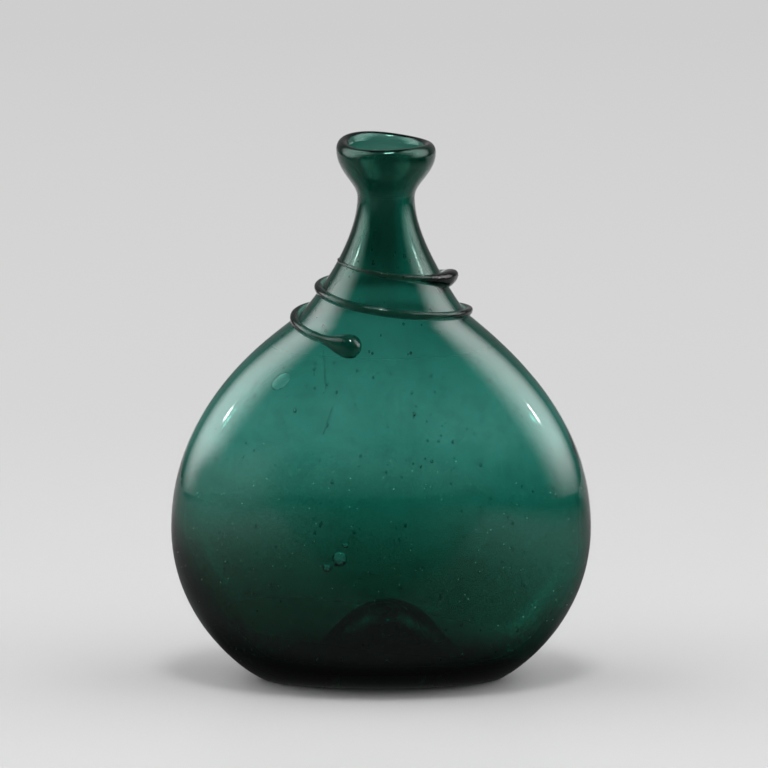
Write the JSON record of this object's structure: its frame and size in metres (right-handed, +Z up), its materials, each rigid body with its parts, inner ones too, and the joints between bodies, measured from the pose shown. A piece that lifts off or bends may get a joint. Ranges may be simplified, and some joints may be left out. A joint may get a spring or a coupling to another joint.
{
  "type": "glass flask",
  "caption": "Free-blown green glass flask with a flattened round body, a narrow neck with a cup mouth, a wound glass thread on the shoulder and a pushed-up base.",
  "frame": {"origin": "centre of the vessel's outline at the level of the ring it rests on", "axes": "+Z up through the neck, +X to the right across the wide face, +Y through the thin side, away from the face that carries the start of the thread"},
  "size_m": [0.1454, 0.062, 0.1909],
  "materials": {
    "blown_glass": "fire-polished free-blown blue-green glass with seeds, striae and light wear at the base",
    "trail_glass": "hot-applied thread of the same blue-green glass, fire-polished",
    "scar_glass": "broken glass ring, sharp and unpolished"
  },
  "bodies": {
    "root": {"flask_body": "blown_glass", "glass_trail": "trail_glass", "pontil_scar": "scar_glass"}
  },
  "joints": []
}
